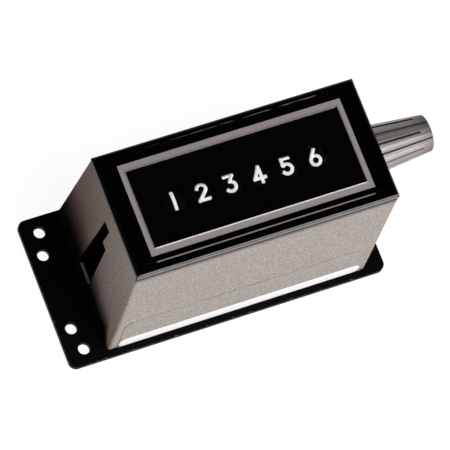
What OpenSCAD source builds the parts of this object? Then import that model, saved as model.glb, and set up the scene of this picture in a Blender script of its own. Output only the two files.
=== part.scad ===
// Electromechanical counter: number wheels behind a window, stepped by a coil and a rocking
// armature, in a drafted cover on a base plate, with a reset knob at the right end.
// Millimetres. The origin is on the underside of the base plate, below the middle of the window.
// +X runs along the row of figures towards the knob, and +Z is the way the figures face.

/* [Base plate] */
// Middle of the window to the left end of the plate
plate_left = 45; // [44.5:0.1:48]
// Middle of the window to the right end of the plate
plate_right = 40; // [39.6:0.1:42]
// Middle of the window to the front edge of the plate
plate_front = 19.6; // [19.2:0.1:22]
// Middle of the window to the rear edge of the plate
plate_rear = 20.4; // [20:0.1:22]
// Thickness of the plate
plate_t = 1.6; // [1.5:0.05:1.8]
// Radius of the plate's corners
plate_corner_r = 2; // [1:0.5:4]
// Diameter of the fixing holes
mount_hole_d = 3; // [2.6:0.1:3.2]
// Spacing across the plate of the four main fixing holes
mount_spacing_y = 20; // [18:0.5:21]
// Middle of the fixing holes, behind the middle of the window
mount_mid_y = 0.4; // [0:0.1:0.8]
// Main fixing holes of the left flange, from the middle of the window
mount_left_x = 41.4; // [40.5:0.1:42]
// Main fixing holes of the right flange, from the middle of the window
mount_right_x = 37.4; // [37.2:0.1:37.6]
// Spacing of the second pair of holes in the left flange
corner_spacing_y = 31.75; // [30:0.25:32.5]
// Second pair of holes, from the middle of the window
corner_x = 40.2; // [39.6:0.1:41]

/* [Housing] */
// Half length of the cover at its top edge
cover_top_x = 34; // [33.6:0.05:34.1]
// Half length of the cover where it meets the plate
cover_foot_x = 34.7; // [34.2:0.1:35]
// Half depth of the cover at its top edge
cover_top_y = 15.85; // [15.5:0.05:15.9]
// Front wall at the plate, from the middle
cover_foot_front = 17.7; // [17:0.1:18]
// Rear wall at the plate, from the middle
cover_foot_rear = 19.6; // [18.5:0.1:19.8]
// Height of the joint between the cover and the bezel
cover_top_z = 50; // [49.9:0.05:50.2]
// Thickness of the cover's walls
cover_wall = 0.7; // [0.6:0.05:0.9]
// Radius of the cover's upright edges
cover_edge_r = 0.5; // [0.4:0.1:1.2]

/* [Bezel and window] */
// Length of the bezel
bezel_x = 68; // [67.8:0.1:69]
// Depth of the bezel
bezel_y = 31.7; // [31.6:0.1:32.5]
// Thickness of the bezel above the cover
bezel_t = 1.8; // [1.7:0.05:2.2]
// Chamfer round the face of the bezel
bezel_chamfer = 0.6; // [0.3:0.1:0.8]
// Length of the trim frame
trim_x = 58; // [57:0.5:59]
// Depth of the trim frame
trim_y = 23.8; // [23:0.2:24.5]
// Width of the trim frame's end bars
trim_end_bar = 1.4; // [1.2:0.1:1.6]
// Width of the trim frame's long bars
trim_long_bar = 1.8; // [1.4:0.1:2]

/* [Number wheels] */
// Distance between neighbouring figures
figure_pitch = 7.32; // [7.3:0.01:7.36]
// Radius of the number wheels
wheel_r = 8.7; // [8.5:0.05:8.75]
// Width of a number wheel's rim
drum_w = 4.8; // [4.7:0.02:4.84]
// Height of the wheels' axis above the mounting surface
wheel_axis_z = 41.4; // [41.3:0.05:41.5]
// Radius of the reset shaft
shaft_r = 1.6; // [1.5:0.05:1.7]

/* [Reset knob] */
// Diameter of the knob beside the cover
knob_base_d = 12.2; // [11:0.1:12.5]
// Diameter of the knob at its free end
knob_end_d = 9.3; // [8.6:0.1:10]
// Free end of the knob, from the middle of the window
knob_end_x = 49.7; // [49:0.1:52]
// Grooves round the knob, every second one short
knob_grooves = 14; // [12:2:16]

/* [Coil and armature] */
// Diameter of the wound coil
coil_d = 16.8; // [16:0.1:17]
// Gap between the pole and the resting armature
pole_gap = 0.7; // [0.65:0.05:0.8]
// Diameter of the core
core_d = 6; // [5.5:0.1:6.5]

/* [Hidden] */
$fn = 64;

// Play of a fixed pin in its hole and of a turning shaft in its bore
fixed_gap = 0.02;
running_gap = 0.05;

// How far a cutter reaches past what it cuts
over = 1;

// Colours
black_paint = [0.06, 0.06, 0.06];
grey_paint = [0.62, 0.59, 0.57];
gloss_black = [0.03, 0.03, 0.03];
silver = [0.75, 0.74, 0.73];
steel = [0.62, 0.63, 0.65];
brass = [0.78, 0.63, 0.32];
copper = [0.72, 0.42, 0.25];
white_nylon = [0.88, 0.86, 0.8];
clear_tint = [0.85, 0.9, 0.92, 0.25];
tape_tan = [0.75, 0.66, 0.4];
board_brown = [0.45, 0.28, 0.16];
lead_red = [0.6, 0.12, 0.1];

// Heights, from the mounting surface up
bezel_top_z = cover_top_z + bezel_t;
trim_t = 0.6;
trim_proud = 0.05;
pane_t = 0.55;
mask_t = 0.3;
trim_seat_z = bezel_top_z + trim_proud - trim_t;
mask_top_z = trim_seat_z - pane_t;
mask_z = mask_top_z - mask_t;
pane_inset = 0.5;
seat_play = 0.05;
frame_top_z = 48.6;
pane_size = [trim_x - 2 * pane_inset, trim_y - 2 * pane_inset];

// Slope of the front wall, which leans back from the plate to the bezel
cover_h = cover_top_z - plate_t;
front_lean = atan((cover_foot_front - cover_top_y) / cover_h);

// Frame plates that carry the works
frame_x = 25;
frame_t = 1.2;
frame_out = frame_x + frame_t;
rivet_reach = 0.5;
foot_x = 32.2;
foot_y = 11;

// Flat-head screws let into the underside of the plate
screw_r = 1.2;
screw_head_r = 2.3;
head_sink = 0.05;
screw_slot_w = 0.5;
screw_slot_depth = 0.4;
screw_reach = 0.6;
thread_hole_h = 10;
frame_screw_places = [for (x = [-29.6, 29.6], y = [-8, 8]) [x, y]];
cover_lug = [7, 6, 1.2];
cover_screw_places = [for (x = [-18, 18], y = [-13.6, 15.6]) [x, y]];
coil_y = 1;
yoke_screw_places = [for (x = [-5.5, 5.5]) [x, coil_y]];

// Number wheels, counted from the units at the right
wheel_count = 6;
function wheel_x(i) = ((wheel_count - 1) / 2 - i) * figure_pitch;
bore_r = shaft_r + running_gap;
hub_r = 3;
hub_end_x = 24.1;
bush_flange_t = 0.8;
bush_flange_r = 3.4;
bush_r = 2.4;

// Transfer gearing: a pinion between each pair of wheels meshes with the higher wheel's gear
gear_teeth = 20;
pinion_teeth = 8;
tooth_module = 0.78;
tooth_backlash = 0.14;
gear_addendum = 0.55 * tooth_module;
gear_dedendum = 1.1 * tooth_module;
pinion_addendum = 0.8 * tooth_module;
pinion_dedendum = tooth_module;
pressure_angle = 20;
flank_steps = 4;
gear_t = 1.1;
carry_disc_t = 1;
carry_disc_r = 6.6;
carry_tooth_r = 6.9;
carry_tooth_w = 0.7;
carry_tooth_angle = 9;
pinion_axis_y = tooth_module * (gear_teeth + pinion_teeth) / 2;
pinion_shaft_r = 1;
pinion_side_gap = 0.2;
pinion_gear_t = 1.02;

// Star wheel and the fork that rocks below it
star_points = 10;
star_r = 7.6;
star_root_r = 5.6;
star_x = 21;
star_t = 1.2;
verge_bore_r = 8.6;

// Coil, yoke and armature
yoke_t = 1.4;
yoke_x = 8;
yoke_front_y = -8.4;
limb_y = 11;
coil_base_z = plate_t + yoke_t;
bobbin_top_z = 23.2;
bobbin_flange_t = 1;
bobbin_flange_r = 9;
bobbin_tube_r = 3.7;
wrap_t = 0.2;
armature_t = 1.4;
armature_z = 24.9;
armature_x = 5.9;
hinge_y = 11.7;
hinge_z = armature_z + armature_t / 2;
hinge_r = 0.8;
knuckle_r = 1.7;
ear_x = 6.4;
ear_t = 1.4;
pole_z = armature_z - pole_gap;
upright_t = 1.2;
upright_x = star_x - upright_t;
tail_y = 14.8;
tail_half_x = 2;
tail_reach = 1.4;
wire_hole_r = 0.5;

// Return spring, from the anchor up to the armature's tail
anchor_z = 11;
spring_r = 1.4;
spring_wire_r = 0.25;
spring_turns = 9;
spring_rings_per_turn = 14;
spring_sides = 6;

// Rods across the frame, as [y, z]
tie_places = [[-12, 8], [-12, 29], [12.2, 30]];
tie_r = 1.3;
tenon_r = 0.9;
stop_rod_r = 1;
stop_sleeve_r = 1.7;
stop_y = -6;
stop_z = armature_z + armature_t + stop_sleeve_r + running_gap;
detent_y = -10.6;
detent_z = 46.4;
detent_r = 1;
detent_strip_t = 0.25;

// Terminals on the inner face of the left frame plate
board_t = 1.6;
tab_t = 0.6;
tab_y = 4.5;
tab_half_w = 1.4;
tab_foot_z = 8;
tab_top_z = 21;
tab_eye_r = 0.6;
tab_eye_drop = 1.3;
tab_rivet_r = 1;
tab_rivet_t = 0.5;
tab_rivet_z = 11;
lead_r = 0.4;
lead_rings = 12;
lead_sides = 8;
lead_start_y = 0.8;
lead_start_drop = 3;
lead_end_drop = 4;
lead_rise = 4;
wrap_bite = 0.03;
tab_bite = 0.1;

// Round bar along X
module rod_x(x0, x1, y, z, r) {
    translate([x0, y, z]) rotate([0, 90, 0]) cylinder(r = r, h = x1 - x0);
}

// Slab from x0 to x1 whose outline is drawn with Y to the right and Z up
module slab_x(x0, x1) {
    translate([x0, 0, 0]) rotate([90, 0, 90]) linear_extrude(x1 - x0) children();
}

// Box between two corners
module span(low, high) {
    translate(low) cube(high - low);
}

// Rectangle between two corners with round corners
module round_rect(low, high, r) {
    translate([low.x + r, low.y]) square([high.x - low.x - 2 * r, high.y - low.y]);
    translate([low.x, low.y + r]) square([high.x - low.x, high.y - low.y - 2 * r]);
    for (x = [low.x + r, high.x - r], y = [low.y + r, high.y - r]) translate([x, y]) circle(r = r);
}

// Rectangular block about the Z axis, from z0 to z1
module block(size_x, size_y, z0, z1) {
    translate([-size_x / 2, -size_y / 2, z0]) cube([size_x, size_y, z1 - z0]);
}

// Four corner discs of one level of the cover
cover_level_t = 0.01;
module cover_level(half_x, front, rear, z) {
    for (x = [-1, 1] * (half_x - cover_edge_r), y = [cover_edge_r - front, rear - cover_edge_r])
        translate([x, y, z]) cylinder(r = cover_edge_r, h = cover_level_t, $fn = 32);
}

// Drafted body of the cover, drawn in by the given amount
module cover_body(inset, z0, z1) {
    function at(foot, top, z) = foot + (top - foot) * (z - plate_t) / cover_h - inset;
    hull() for (z = [z0, z1 - cover_level_t])
        cover_level(at(cover_foot_x, cover_top_x, z), at(cover_foot_front, cover_top_y, z),
            at(cover_foot_rear, cover_top_y, z), z);
}

// Flat-head screw pointing up from the underside of the plate
module flat_screw(r, head_r, length) {
    head_h = head_r - r;
    slot = [2 * (head_r + over), screw_slot_w, screw_slot_depth];
    difference() {
        translate([0, 0, head_sink]) {
            cylinder(r1 = head_r, r2 = r, h = head_h);
            cylinder(r = r, h = length - head_sink);
        }
        translate([-slot.x / 2, -slot.y / 2, 0]) cube(slot);
    }
}

// Hole in the plate for such a screw
module flat_screw_hole(r, head_r) {
    head_h = head_r - r;
    hole_r = r + running_gap;
    translate([0, 0, -over]) cylinder(r = hole_r, h = plate_t + 2 * over);
    cylinder(r1 = head_r + running_gap, r2 = hole_r, h = head_h);
    translate([0, 0, -over]) cylinder(r = head_r + running_gap, h = over);
}

// Involute tooth outline: half the angle that a tooth takes up at radius r
function involute(a) = tan(a) * 180 / PI - a;
function half_tooth(teeth, r) =
    let (pitch_r = teeth * tooth_module / 2, base_r = pitch_r * cos(pressure_angle))
    90 / teeth - tooth_backlash / (2 * pitch_r) * 180 / PI + involute(pressure_angle)
        - involute(acos(min(1, base_r / max(r, base_r))));
function tooth_flank(teeth, addendum, dedendum) =
    let (pitch_r = teeth * tooth_module / 2, root_r = pitch_r - dedendum, tip_r = pitch_r + addendum,
        flank_r = max(root_r, pitch_r * cos(pressure_angle)))
    concat([[root_r, half_tooth(teeth, flank_r)]],
        [for (k = [0:flank_steps]) let (r = flank_r + (tip_r - flank_r) * k / flank_steps)
            [r, half_tooth(teeth, r)]]);
function polar(r, a) = [r * cos(a), r * sin(a)];

// Gear outline with a tooth on the first axis
module gear_outline(teeth, addendum, dedendum) {
    flank = tooth_flank(teeth, addendum, dedendum);
    last = len(flank) - 1;
    polygon([for (i = [0:teeth - 1]) let (mid = i * 360 / teeth)
        for (k = [0:2 * last + 1])
            k <= last ? polar(flank[k][0], mid - flank[k][1])
                : polar(flank[2 * last + 1 - k][0], mid + flank[2 * last + 1 - k][1])]);
}

// Tube along a path, with a reference direction for each point that is never along the path
function unit(v) = v / norm(v);
function tangent(path, i) = unit(path[min(i + 1, len(path) - 1)] - path[max(i - 1, 0)]);
function ring(centre, along, side, r, sides) =
    let (u = unit(side - along * (side * along)), v = cross(along, u))
    [for (k = [0:sides - 1]) centre + r * (cos(k * 360 / sides) * u + sin(k * 360 / sides) * v)];
module tube(path, refs, r, sides) {
    count = len(path);
    points = [for (i = [0:count - 1]) each ring(path[i], tangent(path, i), refs[i], r, sides)];
    walls = [for (i = [0:count - 2], k = [0:sides - 1])
        let (a = i * sides + k, b = i * sides + (k + 1) % sides)
        each [[a, a + sides, b], [b, a + sides, b + sides]]];
    ends = concat([for (k = [1:sides - 2]) [0, k, k + 1]],
        [for (k = [1:sides - 2]) [0, k + 1, k] + [1, 1, 1] * (count - 1) * sides]);
    polyhedron(points, concat(walls, ends));
}

// Base plate with its fixing holes and the screws' countersinks
module mount_hole(x, y) {
    translate([x, mount_mid_y + y, -over]) cylinder(d = mount_hole_d, h = plate_t + 2 * over);
}
module base_plate() color(black_paint) difference() {
    linear_extrude(plate_t)
        round_rect([-plate_left, -plate_front], [plate_right, plate_rear], plate_corner_r);
    for (side = [-1, 1]) {
        mount_hole(-mount_left_x, side * mount_spacing_y / 2);
        mount_hole(mount_right_x, side * mount_spacing_y / 2);
        mount_hole(-corner_x, side * corner_spacing_y / 2);
    }
    for (at = concat(frame_screw_places, cover_screw_places, yoke_screw_places))
        translate(at) flat_screw_hole(screw_r, screw_head_r);
}

// Drawn cover: open at the top, with lugs inside its foot and the lead slot in its left end
slot_outline = [[-1.9, 6.9], [5.2, 6.9], [2.55, 42.3], [-0.45, 42.3], [0.1, 33.5], [-1.9, 33.5]];
shaft_hole_r = 2.4;
wall_reach = 3;
module housing() color(grey_paint) difference() {
    union() {
        difference() {
            cover_body(0, plate_t, cover_top_z);
            cover_body(cover_wall, plate_t - over, cover_top_z + over);
        }
        intersection() {
            cover_body(cover_wall / 2, plate_t, cover_top_z);
            for (at = cover_screw_places) {
                out = at.y < 0 ? -plate_front : plate_rear;
                inner = at.y - sign(at.y) * cover_lug.y / 2;
                span([at.x - cover_lug.x / 2, min(out, inner), plate_t],
                    [at.x + cover_lug.x / 2, max(out, inner), plate_t + cover_lug.z]);
            }
        }
    }
    for (at = cover_screw_places) translate(at) cylinder(r = screw_r, h = thread_hole_h);
    slab_x(-cover_foot_x - over, -cover_top_x + wall_reach) polygon(slot_outline);
    rod_x(cover_top_x - wall_reach, cover_foot_x + over, 0, wheel_axis_z, shaft_hole_r);
}

// Bezel: chamfered ring with a locating lip below, seats for pane and trim, and a fine groove
bezel_lip = 1.4;
bezel_lip_h = 1.8;
bezel_lip_gap = 0.15;
bezel_groove_in = [61.4, 26.7];
bezel_groove_w = 0.4;
bezel_groove_depth = 0.3;
module bezel_profile(size) {
    polygon([[-size / 2, cover_top_z], [size / 2, cover_top_z],
        [size / 2, bezel_top_z - bezel_chamfer], [size / 2 - bezel_chamfer, bezel_top_z],
        [bezel_chamfer - size / 2, bezel_top_z], [-size / 2, bezel_top_z - bezel_chamfer]]);
}
module bezel() color(gloss_black) difference() {
    lip_inset = cover_wall + bezel_lip_gap;
    lip = 2 * [cover_top_x - lip_inset, cover_top_y - lip_inset];
    union() {
        intersection() {
            slab_x(-bezel_x / 2, bezel_x / 2) bezel_profile(bezel_y);
            rotate([90, 0, 0]) translate([0, 0, -bezel_y / 2])
                linear_extrude(bezel_y) bezel_profile(bezel_x);
        }
        translate([0, 0, cover_top_z - bezel_lip_h]) linear_extrude(bezel_lip_h) difference() {
            round_rect(-lip / 2, lip / 2, cover_edge_r);
            square(lip - 2 * [bezel_lip, bezel_lip], center = true);
        }
    }
    block(trim_x - 2 * trim_end_bar, trim_y - 2 * trim_long_bar, cover_top_z - over, bezel_top_z + over);
    block(pane_size.x + 2 * seat_play, pane_size.y + 2 * seat_play, mask_z, bezel_top_z + over);
    block(trim_x + 2 * seat_play, trim_y + 2 * seat_play, trim_seat_z, bezel_top_z + over);
    difference() {
        block(bezel_groove_in.x + 2 * bezel_groove_w, bezel_groove_in.y + 2 * bezel_groove_w,
            bezel_top_z - bezel_groove_depth, bezel_top_z + over);
        block(bezel_groove_in.x, bezel_groove_in.y, cover_top_z, bezel_top_z + 2 * over);
    }
}

// Flat metal frame that holds the pane in the bezel
module trim_frame() color(silver) difference() {
    block(trim_x, trim_y, trim_seat_z, trim_seat_z + trim_t);
    block(trim_x - 2 * trim_end_bar, trim_y - 2 * trim_long_bar, trim_seat_z - over, bezel_top_z + over);
}

// Clear pane under the trim frame
module window_pane() color(clear_tint)
    block(pane_size.x, pane_size.y, mask_top_z, trim_seat_z);

// Thin mask behind the pane, with a window for each figure
mask_window = [5.2, 5.5];
module wheel_mask() color(black_paint) difference() {
    block(pane_size.x, pane_size.y, mask_z, mask_top_z);
    for (i = [0:wheel_count - 1]) translate([wheel_x(i), 0, 0])
        block(mask_window.x, mask_window.y, mask_z - over, mask_top_z + over);
}

// Thin label plate on the lower part of the sloping front wall, with its upper left corner rounded
label_left = 32.25;
label_right = 33.2;
label_foot = 0.2;
label_h = 16.1;
label_t = 0.2;
label_corner_r = 2.6;
label_gap = 0.01;
module label_plate() color(silver) translate([0, -cover_foot_front - label_gap, plate_t])
    rotate([90 - front_lean, 0, 0]) linear_extrude(label_t) {
        round_rect([-label_left, label_foot], [label_right, label_foot + label_h], label_corner_r);
        translate([-label_left, label_foot]) square([label_left + label_right, label_h / 2]);
        translate([0, label_foot]) square([label_right, label_h]);
    }

// Frame plate with an outward foot; the left one has a window for the leads
frame_outline = [[-11, plate_t], [11, plate_t], [13.4, 12], [13.4, 46], [11.5, frame_top_z],
    [-11.5, frame_top_z], [-13.4, 46], [-13.4, 12]];
lead_window = [[-3, 22], [3, 32]];
lead_window_r = 1;
module frame_plate() difference() {
    union() {
        slab_x(frame_x, frame_out) polygon(frame_outline);
        span([frame_x, -foot_y, plate_t], [foot_x, foot_y, plate_t + frame_t]);
    }
    rod_x(frame_x - over, frame_out + over, 0, wheel_axis_z, bush_r + fixed_gap);
    rod_x(frame_x - over, frame_out + over, pinion_axis_y, wheel_axis_z, pinion_shaft_r + fixed_gap);
    rod_x(frame_x - over, frame_out + over, stop_y, stop_z, stop_rod_r + fixed_gap);
    for (at = tie_places) rod_x(frame_x - over, frame_out + over, at.x, at.y, tenon_r + fixed_gap);
    for (at = frame_screw_places) translate(at) cylinder(r = screw_r, h = thread_hole_h);
}
module left_side_plate() color(black_paint) difference() {
    mirror([1, 0, 0]) frame_plate();
    slab_x(-frame_out - over, -frame_x + over) round_rect(lead_window[0], lead_window[1], lead_window_r);
}
module right_side_plate() color(black_paint) difference() {
    frame_plate();
    rod_x(frame_x - over, frame_out + over, detent_y, detent_z, tenon_r + fixed_gap);
}

// Shouldered rods that tie the frame plates together, riveted over outside
module tie_rods() color(steel) for (at = tie_places) {
    rod_x(-frame_x, frame_x, at.x, at.y, tie_r);
    rod_x(-frame_out - rivet_reach, frame_out + rivet_reach, at.x, at.y, tenon_r);
}

// Flanged bearing of the reset shaft in a frame plate
module shaft_bush() difference() {
    union() {
        rod_x(frame_x - bush_flange_t, frame_x, 0, wheel_axis_z, bush_flange_r);
        rod_x(frame_x, frame_out, 0, wheel_axis_z, bush_r);
    }
    rod_x(frame_x - bush_flange_t - over, frame_out + over, 0, wheel_axis_z, bore_r);
}
module left_bush() color(brass) mirror([1, 0, 0]) shaft_bush();
module right_bush() color(brass) shaft_bush();

// Fixed shaft on which the transfer pinions turn
module pinion_shaft() color(steel)
    rod_x(-frame_out - rivet_reach, frame_out + rivet_reach, pinion_axis_y, wheel_axis_z, pinion_shaft_r);

// Electromagnet: bobbin, winding, tape, core with its pole face, yoke and its screws
module coil_bobbin() color(white_nylon) translate([0, coil_y]) difference() {
    union() {
        translate([0, 0, coil_base_z]) cylinder(r = bobbin_flange_r, h = bobbin_flange_t);
        translate([0, 0, coil_base_z]) cylinder(r = bobbin_tube_r, h = bobbin_top_z - coil_base_z);
        translate([0, 0, bobbin_top_z - bobbin_flange_t]) cylinder(r = bobbin_flange_r, h = bobbin_flange_t);
    }
    translate([0, 0, coil_base_z - over]) cylinder(r = core_d / 2 + fixed_gap, h = bobbin_top_z);
}
module coil_sleeve(inner_r, outer_r) {
    translate([0, coil_y, coil_base_z + bobbin_flange_t])
        difference() {
            h = bobbin_top_z - coil_base_z - 2 * bobbin_flange_t;
            cylinder(r = outer_r, h = h);
            translate([0, 0, -over]) cylinder(r = inner_r, h = h + 2 * over);
        }
}
module coil_winding() color(copper) coil_sleeve(bobbin_tube_r, coil_d / 2);
module coil_wrap() color(tape_tan) coil_sleeve(coil_d / 2, coil_d / 2 + wrap_t);
pole_r = 4.2;
core_tenon_r = 2;
module coil_core() color(steel) translate([0, coil_y]) {
    translate([0, 0, plate_t]) cylinder(r = core_tenon_r, h = yoke_t);
    translate([0, 0, coil_base_z]) cylinder(d = core_d, h = pole_z - coil_base_z);
    translate([0, 0, bobbin_top_z]) cylinder(r = pole_r, h = pole_z - bobbin_top_z);
}
limb_gap = 0.3;
limb_top_z = hinge_z - knuckle_r - limb_gap;
ear_y = [9.9, 13.5];
ear_z = [20, 27.4];
module yoke() color(steel) difference() {
    union() {
        span([-yoke_x, yoke_front_y, plate_t], [yoke_x, limb_y + yoke_t, coil_base_z]);
        span([-yoke_x, limb_y, plate_t], [yoke_x, limb_y + yoke_t, limb_top_z]);
        for (x = [-ear_x - ear_t, ear_x])
            span([x, ear_y[0], ear_z[0]], [x + ear_t, ear_y[1], ear_z[1]]);
    }
    rod_x(-yoke_x - over, yoke_x + over, hinge_y, hinge_z, hinge_r + fixed_gap);
    translate([0, coil_y]) cylinder(r = core_tenon_r + fixed_gap, h = thread_hole_h);
    for (at = yoke_screw_places) translate(at) cylinder(r = screw_r, h = thread_hole_h);
}
module yoke_screws() color(steel) for (at = yoke_screw_places)
    translate(at) flat_screw(screw_r - fixed_gap, screw_head_r, coil_base_z - fixed_gap);
module armature_pin() color(steel)
    rod_x(-ear_x - ear_t - rivet_reach, ear_x + ear_t + rivet_reach, hinge_y, hinge_z, hinge_r);

// Bracket behind the yoke that holds the lower end of the return spring
anchor_half_x = 2.5;
anchor_t = 1.2;
anchor_h = 6;
anchor_lip = 1.6;
module spring_anchor() color(steel) difference() {
    back_y = limb_y + yoke_t;
    union() {
        span([-anchor_half_x, back_y, anchor_z - anchor_h], [anchor_half_x, back_y + anchor_t, anchor_z]);
        span([-anchor_half_x, back_y, anchor_z - anchor_t],
            [anchor_half_x, tail_y + anchor_lip, anchor_z]);
    }
    translate([0, tail_y, anchor_z - anchor_t - over]) cylinder(r = wire_hole_r, h = anchor_t + 2 * over);
}

// Helical tension spring whose ends pass through the anchor and the armature's tail
module return_spring() {
    low_z = anchor_z - anchor_t / 2;
    high_z = hinge_z;
    last = spring_turns * spring_rings_per_turn;
    end_share = 0.07;
    ramp_share = 0.06;
    function swell(t) = max(0, min(1, (min(t, 1 - t) - end_share) / ramp_share));
    path = [for (i = [0:last]) let (t = i / last, r = spring_r * pow(sin(90 * swell(t)), 2))
        concat(polar(r, 360 * i / spring_rings_per_turn) + [0, tail_y], low_z + (high_z - low_z) * t)];
    refs = [for (i = [0:last]) concat(polar(1, 360 * i / spring_rings_per_turn), 0)];
    color(steel) tube(path, refs, spring_wire_r, spring_sides);
}

// Back stop of the armature: a rod across the frame with a rubber sleeve
module stop_rod() color(steel)
    rod_x(-frame_out - rivet_reach, frame_out + rivet_reach, stop_y, stop_z, stop_rod_r);
module stop_sleeve() color(black_paint) difference() {
    rod_x(-armature_x, armature_x, stop_y, stop_z, stop_sleeve_r);
    rod_x(-armature_x - over, armature_x + over, stop_y, stop_z, stop_rod_r + fixed_gap);
}

// Detent: a post on the right frame plate and a leaf that presses towards the star wheel
detent_tip = [[-8.1, 40.3], [-8.3, 40.1]];
detent_bend_z = [41.1, 41.3];
detent_rise = 0.9;
detent_overhang = 0.4;
module detent_post() color(steel) {
    rod_x(star_x - detent_overhang, frame_x, detent_y, detent_z, detent_r);
    rod_x(frame_x, frame_out + rivet_reach, detent_y, detent_z, tenon_r);
}
module detent_spring() color(steel) slab_x(star_x, star_x + star_t) {
    near = detent_y + detent_r;
    far = near + detent_strip_t;
    top = detent_z + detent_rise;
    polygon([[near, top], [near, detent_bend_z[0]], detent_tip[1], detent_tip[0],
        [far, detent_bend_z[1]], [far, top]]);
}

// Terminal board with two soldering tabs and the leads to the coil
board_y = 9;
board_z = [6, 19];
module terminal_board() color(board_brown)
    span([-frame_x, -board_y, board_z[0]], [-frame_x + board_t, board_y, board_z[1]]);
module terminal_tabs() color(brass) for (y = [-tab_y, tab_y]) {
    face_x = -frame_x + board_t;
    difference() {
        span([face_x, y - tab_half_w, tab_foot_z], [face_x + tab_t, y + tab_half_w, tab_top_z]);
        rod_x(face_x - over, face_x + tab_t + over, y, tab_top_z - tab_eye_drop, tab_eye_r);
    }
    rod_x(face_x + tab_t, face_x + tab_t + tab_rivet_t, y, tab_rivet_z, tab_rivet_r);
}
module coil_leads() color(lead_red) for (side = [-1, 1]) {
    start = [wrap_bite - coil_d / 2 - wrap_t, coil_y + side * lead_start_y, bobbin_top_z - lead_start_drop];
    finish = [board_t + tab_t - tab_bite - frame_x, side * tab_y, tab_top_z - lead_end_drop];
    rise = [(start.x + finish.x) / 2, (start.y + finish.y) / 2, bobbin_top_z + lead_rise];
    path = [for (i = [0:lead_rings]) let (t = i / lead_rings)
        pow(1 - t, 2) * start + 2 * t * (1 - t) * rise + pow(t, 2) * finish];
    tube(path, [for (p = path) [0, 1, 0]], lead_r, lead_sides);
}

// Screws from below: four into the feet of the frame and four into the lugs of the cover
module frame_screws() color(steel) for (at = frame_screw_places)
    translate(at) flat_screw(screw_r - fixed_gap, screw_head_r, plate_t + frame_t + screw_reach);
module cover_screws() color(steel) for (at = cover_screw_places)
    translate(at) flat_screw(screw_r - fixed_gap, screw_head_r, plate_t + cover_lug.z + screw_reach);

// Reset shaft with the groove that picks up the wheels' pawls
shaft_left_x = -28.2;
shaft_right_x = 46.5;
reset_groove_half_x = 22.6;
reset_groove_w = 0.8;
clip_gap = 0.2;
clip_t = 0.5;
clip_x = [-frame_out - clip_gap - clip_t, -frame_out - clip_gap];
clip_seat_r = 1.2;
clip_r = 2.6;
clip_mouth = 2;
module reset_shaft() color(steel) difference() {
    rod_x(shaft_left_x, shaft_right_x, 0, wheel_axis_z, shaft_r);
    translate([-reset_groove_half_x, 0, wheel_axis_z - shaft_r]) rotate([45, 0, 0])
        translate([0, -reset_groove_w / 2, -reset_groove_w / 2])
            cube([2 * reset_groove_half_x, reset_groove_w, reset_groove_w]);
    difference() {
        rod_x(clip_x[0], clip_x[1], 0, wheel_axis_z, shaft_r + over);
        rod_x(clip_x[0] - over, clip_x[1] + over, 0, wheel_axis_z, clip_seat_r);
    }
}
module shaft_clip() color(steel) difference() {
    rod_x(clip_x[0] + fixed_gap, clip_x[1] - fixed_gap, 0, wheel_axis_z, clip_r);
    rod_x(clip_x[0] - over, clip_x[1] + over, 0, wheel_axis_z, clip_seat_r + fixed_gap);
    span([clip_x[0] - over, -clip_mouth / 2, wheel_axis_z],
        [clip_x[1] + over, clip_mouth / 2, wheel_axis_z + clip_r + over]);
}

// Tapered knob with grooves along it, every second one stopping short of the end
knob_start_x = 34.8;
knob_edge_r = 0.4;
knob_foot_edge = 0.3;
knob_bore_spare = 0.5;
long_groove_w = 0.45;
short_groove_w = 0.6;
groove_sink = 0.1;
short_share = 0.8;
set_screw_x = 38;
set_screw_r = 0.9;
set_screw_sink = 0.6;
set_screw_slot = 0.4;
knob_turn = 17.5;
module turned_knob() {
    translate([0, 0, wheel_axis_z]) rotate([-knob_turn, 0, 0]) translate([0, 0, -wheel_axis_z]) children();
}
module reset_knob() color(silver) turned_knob() {
    length = knob_end_x - knob_start_x;
    base_r = knob_base_d / 2;
    end_r = knob_end_d / 2;
    taper = atan((base_r - end_r) / length);
    difference() {
        translate([knob_start_x, 0, wheel_axis_z]) rotate([0, 90, 0]) rotate_extrude() {
            polygon([[0, 0], [base_r - knob_foot_edge, 0], [base_r, knob_foot_edge],
                [end_r + knob_edge_r * tan(taper), length - knob_edge_r],
                [end_r - knob_edge_r, length], [0, length]]);
            translate([end_r - knob_edge_r, length - knob_edge_r]) circle(r = knob_edge_r);
        }
        rod_x(knob_start_x - over, shaft_right_x + knob_bore_spare, 0, wheel_axis_z, shaft_r + fixed_gap);
        for (i = [0:knob_grooves - 1]) {
            is_long = i % 2 == 0;
            run = is_long ? length + 2 * over : length * short_share;
            groove_w = is_long ? long_groove_w : short_groove_w;
            translate([knob_start_x - over, 0, wheel_axis_z]) rotate([i * 360 / knob_grooves, 0, 0])
                translate([0, 0, base_r + groove_sink + over * sin(taper)]) rotate([0, taper, 0])
                    rotate([45, 0, 0]) translate([0, -groove_w / 2, -groove_w / 2])
                        cube([run, groove_w, groove_w]);
        }
        translate([set_screw_x, 0, wheel_axis_z - base_r - over]) cylinder(r = set_screw_r, h = base_r);
    }
}
module knob_set_screw() color(steel) turned_knob() difference() {
    outer_z = wheel_axis_z - knob_base_d / 2;
    inner_z = wheel_axis_z - shaft_r - fixed_gap;
    translate([set_screw_x, 0, outer_z + set_screw_sink])
        cylinder(r = set_screw_r - fixed_gap, h = inner_z - outer_z - set_screw_sink);
    span([set_screw_x - set_screw_r - over, -set_screw_slot / 2, outer_z],
        [set_screw_x + set_screw_r + over, set_screw_slot / 2, outer_z + set_screw_sink + set_screw_slot]);
}

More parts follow.
